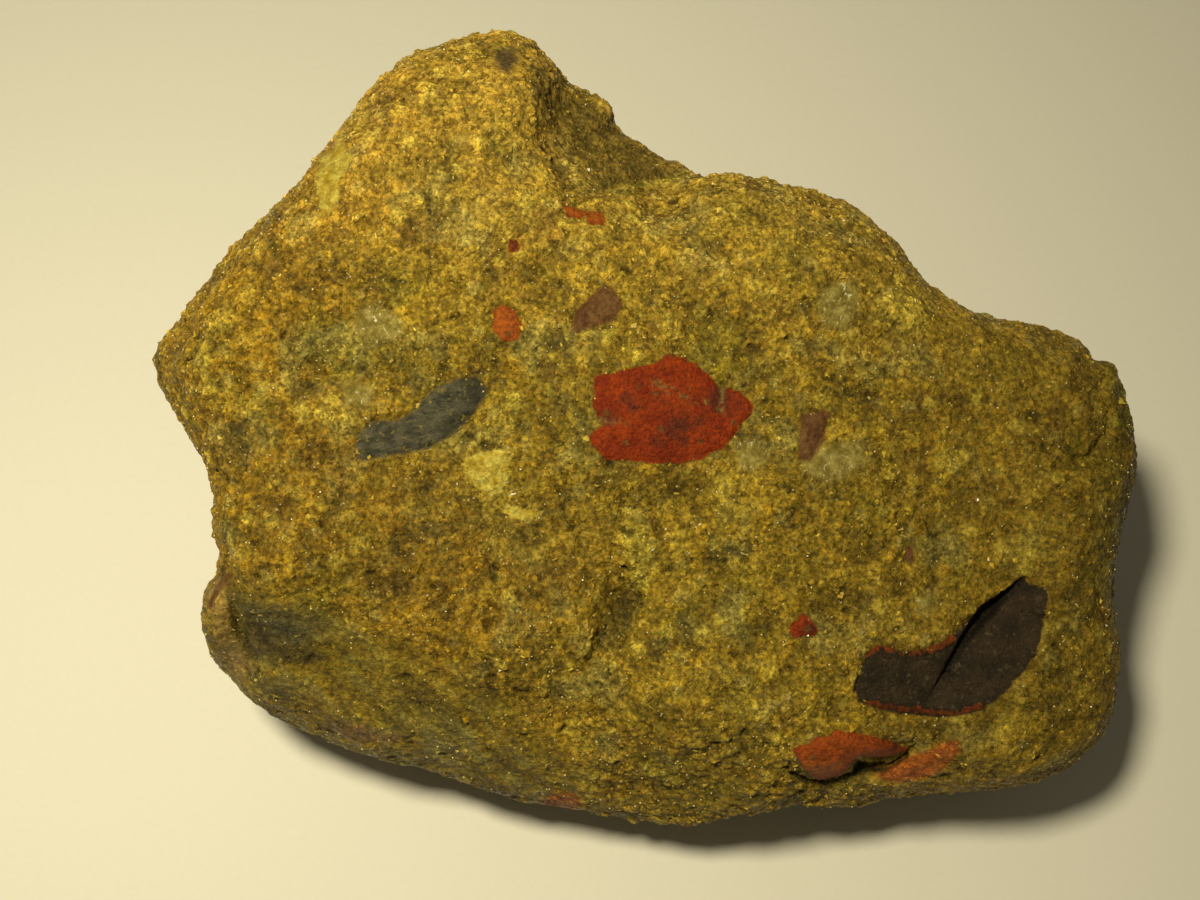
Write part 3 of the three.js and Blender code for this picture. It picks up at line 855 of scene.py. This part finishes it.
def earth(p, normals):
    """Colour of the cemented sand at points, linear, with painted light and shade."""
    q = plan(p)
    seen = step(facing(normals), -0.2, 0.1)
    wander = fractal(p, 4, 3, 151)
    shelf = step(depth_in_line(q, SHELF, 0.8), 0, 0.6) * seen
    dent = step(depth_in_line(q, DENT, 2.6) + 0.6 * wander, 0, 2.2) * seen
    top = step(q[:, 1] + 0.1 * q[:, 0], 5, 40) * seen
    groove = step(depth_in_line(q, LOBE_GROOVE, 0.8), 0, 0.6) * seen
    colour = stained_and_shaded(browned(mottled(p, q, seen), q, seen), q, seen, wander)
    # Painted shade darkens the dent and the lobe's groove.
    colour = layered(colour, (YELLOW, shelf * 0.6), (DARK, dent * 0.6), (TAN, top * 0.3),
                     (DARK, groove * 0.6))
    foot = step(q[:, 0], 24, 40) * step(-q[:, 1], 32, 40) * seen
    lobe = step(depth_inside(q, LOBE), -1, 1) * seen
    flank = step(depth_inside(q, FLANK), -1, 2) * seen
    edge = step(q[:, 0], 50, 64) * seen
    spot = step(depth_inside(q, PEAK_SPOT), -0.6, 0.8) * seen
    # Painted light on the top, the lower right foot and the lobe.
    light = 0.75 * top + 0.25 * foot + 0.18 * lobe
    # Painted shade on the flank, the right edge and the dent; the peak spot's darkening only offsets
    # the top's painted light, so its plum stain stays dark.
    shade = 0.72 * flank + 0.22 * edge + 0.7 * spot + 0.3 * dent
    return colour * (1 + light - shade)[:, None]


# ---- sand grains

BLOCK = np.array(list(product((-1, 1), repeat=3))) / math.sqrt(3)
BLOCK_FACES = np.array([
    (0, 1, 3), (0, 3, 2), (4, 6, 7), (4, 7, 5), (0, 4, 5), (0, 5, 1),
    (2, 3, 7), (2, 7, 6), (0, 2, 6), (0, 6, 4), (1, 5, 7), (1, 7, 3),
])


def random_turns(rng, count):
    """Rotation matrices that turn any way."""
    q = rng.normal(size=(count, 4))
    w, x, y, z = (q / np.linalg.norm(q, axis=1, keepdims=True)).T
    rows = [
        (1 - 2 * (y * y + z * z), 2 * (x * y - z * w), 2 * (x * z + y * w)),
        (2 * (x * y + z * w), 1 - 2 * (x * x + z * z), 2 * (y * z - x * w)),
        (2 * (x * z - y * w), 2 * (y * z + x * w), 1 - 2 * (x * x + y * y)),
    ]
    return np.moveaxis(np.array(rows), -1, 0)


def grain_places(points, faces, depths, rng):
    """Where sand grains sit: places on the surface and the normals there."""
    normals = vertex_normals(points, faces)
    across = crossed_sides(points, faces)
    area = np.linalg.norm(across, axis=1) / 2
    faced = facing(across) / np.maximum(2 * area, TINY)
    rate = np.where(faced > FACE_SAND_END, SAND_ON_FACE, SAND_ELSEWHERE) * area
    bare = np.max([depths[k] for k in ("jasper", "shale", "cream", "mauve")], axis=0)
    bare = np.maximum(bare, depths["slate"] - 0.5)
    for crack in (SHALE_SPLIT, SLAB_CLEFT):
        bare = np.maximum(bare, depth_inside(plan(points), crack) + 0.5)
    bare = (bare + 0.5 * fractal(points, 1.6, 2, 171) - 0.15)[faces].mean(axis=1)
    glassy = depths["quartz"][faces].mean(axis=1)
    rate = rate * (1 - step(bare, -0.25, 0.1)) * (1 - 0.7 * step(glassy, -0.3, 0.5))
    worn = worn_share(points, normals)[faces].mean(axis=1)
    rate = rate * (1 - 0.8 * worn) * (points[faces, 2].sum(axis=1) > BARE_HEIGHTS)
    chosen = np.repeat(np.arange(len(faces)), rng.poisson(rate))
    s, t = rng.random((2, len(chosen)))
    flip = s + t > 1
    s, t = np.where(flip, 1 - s, s)[:, None], np.where(flip, 1 - t, t)[:, None]
    i, j, k = faces[chosen].T
    places = points[i] * (1 - s - t) + points[j] * s + points[k] * t
    lean = normals[i] * (1 - s - t) + normals[j] * s + normals[k] * t
    return places, lean / np.linalg.norm(lean, axis=1, keepdims=True)


def sand(points, faces, depths):
    """The grains' corners, places, normals and random numbers."""
    rng = np.random.default_rng(GRAIN_SEED)
    places, normals = grain_places(points, faces, depths, rng)
    count = len(places)
    size = GRAIN_WIDTH / 2 * np.exp(GRAIN_SPREAD * rng.normal(size=count))
    chance = rng.random((count, 3))
    fleck = chance[:, 2] > GLINT_FLECK_CHANCE
    size = np.where(fleck, FLECK_SIZE, np.clip(size, LEAST_GRAIN, MOST_GRAIN))
    shape = BLOCK[None] * (1 + 0.34 * rng.normal(size=(count, len(BLOCK), 3)).clip(-1.6, 1.6))
    shape = shape * (size[:, None] * (0.8 + 0.5 * rng.random((count, 3))))[:, None, :]
    turned = np.einsum("nij,nkj->nki", random_turns(rng, count), shape)
    sink = np.where(fleck, FLECK_SINK, 0.5 + 0.45 * rng.random(count))
    sunk = places - normals * (size * sink)[:, None]
    corners = turned + sunk[:, None, :]
    corners[..., 2] = np.maximum(corners[..., 2], 0)
    return corners, places, normals, chance


def grain_colours(places, normals, chance):
    """Each grain's colour: the sand's own there, mixed with that of its mineral; flecks get a painted
    glint.
    """
    colour = earth(places, normals)
    minerals = np.array([AMBER, YELLOW, GREY_GREEN, BROWN, OCHRE, OLIVE, OCHRE, CREAM])
    mineral = minerals[(chance[:, 0] * len(minerals)).astype(int)]
    colour = (colour * 0.75 + mineral * 0.25) * (0.48 + 1.1 * chance[:, 1:2])
    # The flecks are painted near-white as glints.
    return layered(colour, (PAINTED_GLINT, 0.7 * (chance[:, 2] > GLINT_FLECK_CHANCE)))


# ---- materials

class Nodes:
    """A small helper that adds and links shader nodes."""

    def __init__(self, name):
        self.material = bpy.data.materials.new(name)
        self.material.use_nodes = True
        self.tree = self.material.node_tree
        self.shader = self.tree.nodes["Principled BSDF"]

    def add(self, kind, inputs=None, **settings):
        node = self.tree.nodes.new(kind)
        for name, value in settings.items():
            setattr(node, name, value)
        for name, value in (inputs or {}).items():
            self.put(node.inputs[name], value)
        return node

    def put(self, socket, value):
        if isinstance(value, bpy.types.NodeSocket):
            self.tree.links.new(value, socket)
        elif socket.type == "RGBA" and len(value) == 3:
            socket.default_value = (*value, 1)
        else:
            socket.default_value = value

    def place(self):
        """The point's place in millimetres."""
        inputs = {0: self.add("ShaderNodeTexCoord").outputs["Object"], "Scale": 1 / MM}
        return self.add("ShaderNodeVectorMath", inputs, operation="SCALE").outputs["Vector"]

    def noise(self, place, wavelength, detail=3, roughness=0.55):
        inputs = {"Vector": place, "Detail": detail, "Roughness": roughness,
                  "Scale": 1 / wavelength}
        return self.add("ShaderNodeTexNoise", inputs).outputs["Fac"]

    def cells(self, place, spacing):
        return self.add("ShaderNodeTexVoronoi", {"Vector": place, "Scale": 1 / spacing}).outputs

    def vector(self, operation, a, b):
        return self.add("ShaderNodeVectorMath", {0: a, 1: b}, operation=operation).outputs

    def bent(self, place, wavelength, amount):
        """The place pushed about by a noise, by up to about half the amount."""
        node = self.add("ShaderNodeTexNoise", {"Vector": place, "Scale": 1 / wavelength})
        push = self.vector("SUBTRACT", node.outputs["Color"], (0.5, 0.5, 0.5))[0]
        push = self.vector("MULTIPLY", push, (amount, amount, amount))[0]
        return self.vector("ADD", place, push)[0]

    def facets(self, place, spacing):
        """Height in millimetres of crystal faces: each cell leans its own way."""
        cell = self.cells(place, spacing)
        off = self.vector("SUBTRACT", place, cell["Position"])[0]
        lean = self.vector("SUBTRACT", cell["Color"], (0.5, 0.5, 0.5))[0]
        return self.vector("DOT_PRODUCT", off, lean)["Value"]

    def number(self, name):
        return self.add("ShaderNodeAttribute", attribute_name=name).outputs["Fac"]

    def colour(self, name):
        return self.add("ShaderNodeAttribute", attribute_name=name).outputs["Color"]

    def math(self, operation, a, b=0, c=0):
        return self.add("ShaderNodeMath", {0: a, 1: b, 2: c}, operation=operation).outputs[0]

    def ramp(self, value, low, high, start=0, end=1):
        """Runs smoothly from start to end as the value goes from low to high."""
        inputs = {"Value": value, "From Min": low, "From Max": high, "To Min": start,
                  "To Max": end}
        return self.add("ShaderNodeMapRange", inputs, interpolation_type="SMOOTHSTEP").outputs[0]

    def mix(self, share, a, b, blend="MIX"):
        inputs = {0: share, 6: a, 7: b}
        return self.add("ShaderNodeMix", inputs, data_type="RGBA", blend_type=blend).outputs[2]

    def scaled(self, colour, factor):
        """The colour times a number."""
        grey = self.add("ShaderNodeCombineColor", {0: factor, 1: factor, 2: factor}).outputs[0]
        return self.mix(1, colour, grey, "MULTIPLY")

    def finished(self, values):
        """The material, with these values on its shader's own sockets."""
        for name, value in values.items():
            self.put(self.shader.inputs[name], value)
        return self.material

    def bump(self, height, distance, strength=1, normal=None):
        inputs = {"Height": height, "Distance": distance, "Strength": strength}
        if normal is not None:
            inputs["Normal"] = normal
        return self.add("ShaderNodeBump", inputs).outputs["Normal"]


def sand_colour(n, place):
    """The cement and the small grains of several minerals set in it."""
    cell = n.cells(n.bent(place, 0.6, 0.5), 0.42)
    pick = n.add("ShaderNodeSeparateColor", {0: cell["Color"]}).outputs
    coarse = n.scaled(n.colour("earth"), n.ramp(pick[2], 0, 1, 0.66, 1.34))
    for channel, target in ((0, YELLOW), (1, GREY_GREEN)):
        coarse = n.mix(n.ramp(pick[channel], 0.75, 1, 0, 0.35), coarse, target)
    coarse = n.mix(n.ramp(pick[1], 0.25, 0, 0, 0.5), coarse, BROWN)
    colour = n.mix(n.ramp(n.number("worn"), 0, 1, 1, 0.2), n.colour("earth"), coarse)
    colour = n.scaled(colour, n.ramp(n.noise(place, 0.6, 4, 0.7), 0.3, 0.7, 0.5, 1.45))
    # Painted shade and light: darker in the low spots of the relief, lighter on its high ones.
    return n.scaled(colour, n.ramp(n.number("rough"), -0.65, 0.55, 0.24, 1.36))


def jasper_colour(n, place):
    """Brick red, with darker bands, brown specks and the veins' dusty grey."""
    colour = n.mix(n.ramp(n.noise(place, 2.6, 5, 0.6), 0.3, 0.7), JASPER_DARK, JASPER_RED)
    colour = n.mix(n.number("orange"), colour, JASPER_ORANGE)
    colour = n.mix(n.ramp(n.noise(place, 5.2, 3), 0.54, 0.70), colour, JASPER_BAND)
    speck = n.ramp(n.cells(place, 2.2)["Distance"], 0.10, 0.26, 0.7, 0)
    colour = n.mix(speck, colour, JASPER_SPECK)
    dusty = n.ramp(n.noise(place, 0.8, 4, 0.7), 0.42, 0.58)
    colour = n.mix(n.math("MULTIPLY", n.number("vein"), dusty), colour, VEIN_DUST)
    return n.scaled(colour, n.ramp(n.noise(place, 0.45, 4, 0.65), 0.3, 0.7, 0.62, 1.28))


def slate_colour(n, place):
    """Blue-grey, with fine streaks along the stone."""
    drawn_out = n.vector("MULTIPLY", place, (0.6, 1.2, 1.2))[0]
    colour = n.mix(n.ramp(n.noise(drawn_out, 1.1, 5, 0.65), 0.35, 0.65), SLATE_DARK, SLATE_PALE)
    return n.mix(n.ramp(n.noise(place, 0.7, 4, 0.7), 0.56, 0.70), colour, SLATE_DUST)


def shale_colour(n, place):
    """Nearly black, with brown clouds and a little dust."""
    colour = n.mix(n.ramp(n.noise(place, 3, 4, 0.6), 0.3, 0.7), SHALE_DARK, SHALE_BROWN)
    return n.mix(n.ramp(n.noise(place, 0.8, 5, 0.75), 0.54, 0.70), colour, SHALE_DUST)


def cream_colour(n, place):
    """Chert from ochre to cream, finely grained."""
    colour = n.mix(n.ramp(n.noise(place, 1.4, 4, 0.6), 0.35, 0.7), CREAM_DARK, CREAM_PALE)
    return n.scaled(colour, n.ramp(n.noise(place, 0.6, 4, 0.7), 0.25, 0.7, 0.6, 1.15))


def mauve_colour(n, place):
    """Dull purple brown, in soft clouds."""
    colour = n.mix(n.ramp(n.noise(place, 2.4, 4), 0.35, 0.65), MAUVE_DARK, MAUVE_PALE)
    return n.scaled(colour, n.ramp(n.noise(place, 0.6, 3), 0.3, 0.7, 0.75, 1.2))


def quartz_colour(n, place):
    """Grey-brown glass, with a few white streaks where it is cracked, partly painted glints."""
    colour = n.mix(n.ramp(n.noise(place, 1.2, 4), 0.35, 0.7), QUARTZ_BROWN, QUARTZ_PALE)
    off_middle = n.math("ABSOLUTE", n.math("SUBTRACT", n.noise(place, 2.8, 2, 0.5), 0.5))
    crack = n.math("MULTIPLY", n.ramp(off_middle, 0.012, 0), n.ramp(n.noise(place, 0.6), 0.5, 0.6))
    # The white streaks are partly painted glints.
    return n.mix(crack, colour, QUARTZ_CRACK_GLINT)


# For each kind of pebble: its colour, its roughness and how soft its edge is, in millimetres.
PEBBLE_LOOKS = {
    "quartz": (quartz_colour, 0.14, 0.9),
    "cream": (cream_colour, 0.45, 0.30),
    "mauve": (mauve_colour, 0.55, 0.25),
    "slate": (slate_colour, 0.50, 0.35),
    "shale": (shale_colour, 0.58, 0.15),
    "jasper": (jasper_colour, 0.66, 0.15),
}


def stone_material():
    """Cemented sand, with each kind of pebble where its depth is over nought."""
    n = Nodes("cemented_sand")
    place = n.place()
    colour = sand_colour(n, place)
    glassy = n.add("ShaderNodeSeparateColor", {0: n.cells(place, 0.5)["Color"]}).outputs[0]
    roughness = n.ramp(glassy, 0.70, 0.80, 0.62, 0.24)
    wander = n.math("MULTIPLY_ADD", n.noise(place, 1.2, 5, 0.65), 1.6, -0.8)
    covered = 0.0
    for kind, (make, gloss, edge) in PEBBLE_LOOKS.items():
        depth = n.math("ADD", n.number(kind), wander)
        share = n.ramp(depth, -edge, edge)
        colour = n.mix(share, colour, make(n, place))
        roughness = n.add("ShaderNodeMix", {0: share, 2: roughness, 3: gloss},
                          data_type="FLOAT").outputs[0]
        covered = n.math("MAXIMUM", covered, share)
    # Painted shadow: the colour darkened in the cracks, under the shale's rims and on the slate's
    # lower right end.
    colour = n.mix(n.number("painted_shadow"), colour, n.scaled(colour, 0.15))
    faces = n.facets(n.bent(place, 0.6, 0.4), 0.5)
    worn = n.math("MAXIMUM", covered, n.number("worn"))
    faces = n.math("MULTIPLY", faces, n.ramp(worn, 0, 1, 1, 0.25))
    normal = n.bump(faces, 1.0 * MM, 1)
    normal = n.bump(n.noise(place, 1.1, 4, 0.7), 0.8 * MM, 0.8, normal)
    normal = n.bump(n.noise(place, 0.35, 4, 0.7), 0.28 * MM, 1, normal)
    return n.finished({"Base Color": colour, "Roughness": roughness, "Normal": normal,
                       "Specular IOR Level": SPECULAR})


def grain_material():
    """A grain of sand in its own colour; some are glassy."""
    n = Nodes("sand_grain")
    place = n.place()
    cloudy = n.ramp(n.noise(place, 0.35, 3), 0.3, 0.7, 0.75, 1.2)
    return n.finished({
        "Base Color": n.scaled(n.colour("grain"), cloudy),
        "Roughness": n.number("gloss"),
        "Normal": n.bump(n.noise(place, 0.2, 3), 0.05 * MM, 0.5),
        "Specular IOR Level": SPECULAR,
        "Coat Weight": 0.14,
        "Coat Roughness": 0.22,
    })


def floor_material():
    n = Nodes("pale_card")
    place = n.place()
    shade = n.ramp(n.noise(place, 0.8, 4), 0.2, 0.8, 0.985, 1.015)
    return n.finished({"Base Color": n.scaled(FLOOR_WHITE, shade), "Roughness": 0.85})


# ---- pieces

def painted_shadow_share(q):
    """How far plan points get painted shadow: cracks, under the shale's rims and the slate's end."""
    share = step(depth_inside(q, SHALE_SPLIT), -0.15, 0.25)
    share = np.maximum(share, step(depth_inside(q, SLAB_CLEFT), -0.15, 0.2))
    for rim, dim in ((SHALE_LOW_RIM, 0.78), (SHALE_TOP_RIM, 0.6)):
        share = np.maximum(share, dim * step(depth_in_line(q, rim, 0.6), 0, 0.2))
    return np.maximum(share, 0.5 * step(depth_inside(q, SLATE_END), -0.7, 0.7))


def orange_share(q):
    """How far the jasper at plan points goes from brick to orange."""
    share = np.zeros(len(q))
    for outline, most in ORANGE_SHARES:
        share = np.maximum(share, most * step(depth_inside(q, outline), -0.5, 0.5))
    for rim in (SHALE_TOP_RIM, SHALE_LOW_RIM):
        share = np.maximum(share, 0.5 * step(depth_in_line(q, rim, 0.8), 0, 0.2))
    return share


def make_stone(node):
    """The stone itself, with the numbers that its material reads on every vertex."""
    points, faces, depths, rough = stone_surface(node)
    made = new_mesh_object("stone", points, faces, True)
    normals = vertex_normals(points, faces)
    q = plan(points)
    veins = [depth_in_line(q, vein, 0.45) for vein in JASPER_VEINS]
    painted_shadow = np.where(facing(normals) > FACE_PAINTED_SHADOW_END, painted_shadow_share(q), 0)
    numbers = {**depths, "rough": rough, "worn": worn_share(points, normals), "painted_shadow": painted_shadow,
               "orange": orange_share(q), "vein": step(np.max(veins, axis=0), -0.1, 0.35)}
    for name, values in numbers.items():
        set_number(made, name, values)
    set_colour(made, "earth", earth(points, normals))
    made.data.materials.append(stone_material())
    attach(made, "root")
    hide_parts("puddingstone")
    return points, faces, depths


def make_sand(points, faces, depths):
    """The grains of sand, joined in pieces of at most GRAINS_IN_A_PIECE."""
    corners, places, normals, chance = sand(points, faces, depths)
    colours = grain_colours(places, normals, chance)
    gloss = np.where(chance[:, 2] > GLASSY_CHANCE, 0.16, 0.35 + 0.4 * chance[:, 2])
    material = grain_material()
    for number, start in enumerate(range(0, len(places), GRAINS_IN_A_PIECE)):
        rows = slice(start, start + GRAINS_IN_A_PIECE)
        count = len(places[rows])
        first = np.arange(count)[:, None, None] * len(BLOCK)
        index = (first + BLOCK_FACES[None]).reshape(-1, 3)
        made = new_mesh_object(f"sand_{number + 1}", corners[rows].reshape(-1, 3), index, False)
        set_colour(made, "grain", np.repeat(colours[rows], len(BLOCK), axis=0))
        set_number(made, "gloss", np.repeat(gloss[rows], len(BLOCK)))
        made.data.materials.append(material)
        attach(made, "root")


def make_floor():
    """A card much wider than the view."""
    mesh = bpy.data.meshes.new("floor")
    corners = [(x * FLOOR_REACH, y * FLOOR_REACH, 0) for x, y in ((-1, -1), (1, -1), (1, 1), (-1, 1))]
    mesh.from_pydata(corners, [], [(0, 1, 2, 3)])
    mesh.materials.append(floor_material())
    new_object("floor", mesh)


def make_lights():
    """A soft lamp at the upper left, and an even glow all round."""
    lamp = bpy.data.lights.new("lamp", "AREA")
    lamp.shape = "DISK"
    lamp.size = LAMP_SIZE
    lamp.spread = LAMP_SPREAD
    lamp.energy = LAMP_WATTS
    lamp.color = LIGHT_TINT
    holder = new_object("lamp", lamp)
    holder.location = LAMP_PLACE
    holder.rotation_euler = (LAMP_AIM - LAMP_PLACE).to_track_quat("-Z", "Y").to_euler()
    world = bpy.data.worlds.new("glow")
    world.use_nodes = True
    background = world.node_tree.nodes["Background"].inputs
    background["Color"].default_value = (*LIGHT_TINT, 1)
    background["Strength"].default_value = GLOW_STRENGTH
    bpy.context.scene.world = world


def make_camera():
    """The camera looks square on to the broad face."""
    camera = bpy.data.cameras.new("camera")
    camera.sensor_width = SENSOR
    camera.lens = LENS
    camera.clip_start, camera.clip_end = CLIP
    holder = new_object("camera", camera)
    turn = Matrix((U_AXIS, V_AXIS, W_AXIS)).transposed()
    holder.matrix_world = Matrix.LocRotScale(AIM + W_AXIS * EYE_HEIGHT, turn.to_quaternion(), None)
    bpy.context.scene.camera = holder


def write_sizes():
    """Brings the view layer up to date."""
    bpy.context.view_layer.update()


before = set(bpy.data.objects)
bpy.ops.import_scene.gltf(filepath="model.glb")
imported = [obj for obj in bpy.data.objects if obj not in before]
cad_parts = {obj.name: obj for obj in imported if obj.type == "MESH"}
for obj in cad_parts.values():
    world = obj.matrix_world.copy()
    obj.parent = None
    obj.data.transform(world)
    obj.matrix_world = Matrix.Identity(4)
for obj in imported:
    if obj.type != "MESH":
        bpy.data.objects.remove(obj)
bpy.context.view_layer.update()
bpy.context.scene.view_settings.view_transform = "Standard"
make_camera()
make_lights()
make_floor()
make_sand(*make_stone(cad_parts["puddingstone"]))
write_sizes()
